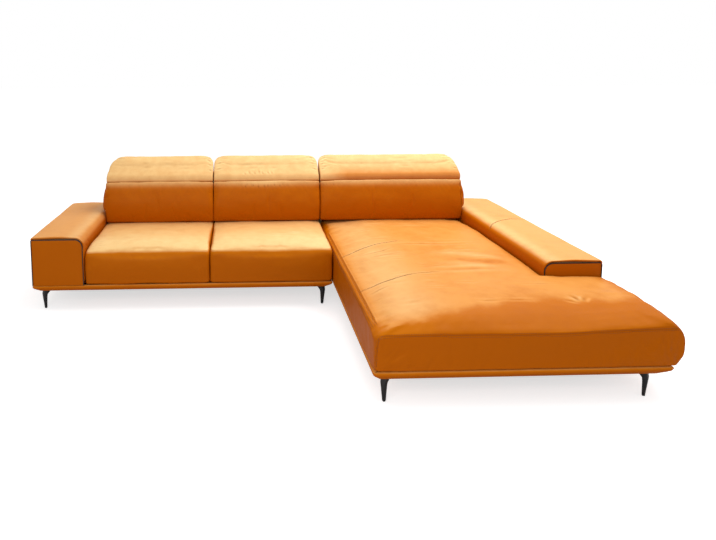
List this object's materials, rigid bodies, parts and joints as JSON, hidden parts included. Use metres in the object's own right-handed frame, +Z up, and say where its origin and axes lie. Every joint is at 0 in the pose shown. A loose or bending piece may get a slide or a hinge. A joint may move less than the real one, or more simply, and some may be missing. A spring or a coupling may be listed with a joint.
{
  "type": "corner sofa",
  "caption": "Leather corner sofa with a chaise section, low wide arms, bent metal legs and tilting headrests.",
  "frame": {"origin": "middle of the footprint, on the floor", "axes": "+X to the sofa's right as seen from the front, +Y to the back, +Z up"},
  "size_m": [3.2282, 2.215, 0.8333],
  "materials": {
    "leather": "satin",
    "piping": "satin",
    "foam": "matte",
    "timber": "matte",
    "webbing": "matte",
    "dust_cover": "matte",
    "black_metal": "satin",
    "spring_steel": "satin",
    "steel": "satin",
    "plastic": "matte"
  },
  "bodies": {
    "root": {"seat_cover_left": "leather", "seat_foam_left": "foam", "seat_frame_left": "timber", "seat_springs_left": "spring_steel", "seat_cover_middle": "leather", "seat_foam_middle": "foam", "seat_frame_middle": "timber", "seat_springs_middle": "spring_steel", "chaise_cover": "leather", "chaise_foam": "foam", "chaise_frame": "timber", "chaise_webbing": "webbing", "arm_pad_left": "leather", "arm_front_panel_left": "leather", "arm_side_cover_left": "leather", "arm_frame_left": "timber", "arm_piping_left": "piping", "arm_pad_right": "leather", "arm_front_panel_right": "leather", "arm_side_cover_right": "leather", "arm_frame_right": "timber", "arm_piping_right": "piping", "plinth_sofa": "leather", "dust_cover_sofa": "dust_cover", "back_frame_sofa": "timber", "back_webbing_sofa": "webbing", "back_skin_sofa": "leather", "plinth_chaise": "leather", "dust_cover_chaise": "dust_cover", "back_frame_chaise": "timber", "back_webbing_chaise": "webbing", "back_skin_chaise": "leather", "legs": "black_metal", "leg_glides": "plastic", "section_connectors": "steel", "screws": "steel", "back_cover_left": "leather", "back_foam_left": "foam", "hinge_brackets_left": "black_metal", "back_cover_middle": "leather", "back_foam_middle": "foam", "hinge_brackets_middle": "black_metal", "back_cover_right": "leather", "back_foam_right": "foam", "hinge_brackets_right": "black_metal"},
    "headrest_left": {"headrest_cover_left": "leather", "headrest_foam_left": "foam", "headrest_board_left": "timber", "hinge_arms_left": "black_metal", "hinge_pins_left": "steel"},
    "headrest_middle": {"headrest_cover_middle": "leather", "headrest_foam_middle": "foam", "headrest_board_middle": "timber", "hinge_arms_middle": "black_metal", "hinge_pins_middle": "steel"},
    "headrest_right": {"headrest_cover_right": "leather", "headrest_foam_right": "foam", "headrest_board_right": "timber", "hinge_arms_right": "black_metal", "hinge_pins_right": "steel"}
  },
  "joints": [
    {"name": "headrest_tilt_left", "type": "hinge", "parent": "root", "child": "headrest_left", "pos_m": [-0.9225, 0.85, 0.684], "axis": [1, 0, 0], "range_deg": [0, 50]},
    {"name": "headrest_tilt_middle", "type": "hinge", "parent": "root", "child": "headrest_middle", "pos_m": [-0.1575, 0.85, 0.684], "axis": [1, 0, 0], "range_deg": [0, 50]},
    {"name": "headrest_tilt_right", "type": "hinge", "parent": "root", "child": "headrest_right", "pos_m": [0.74, 0.85, 0.684], "axis": [1, 0, 0], "range_deg": [0, 50]}
  ]
}
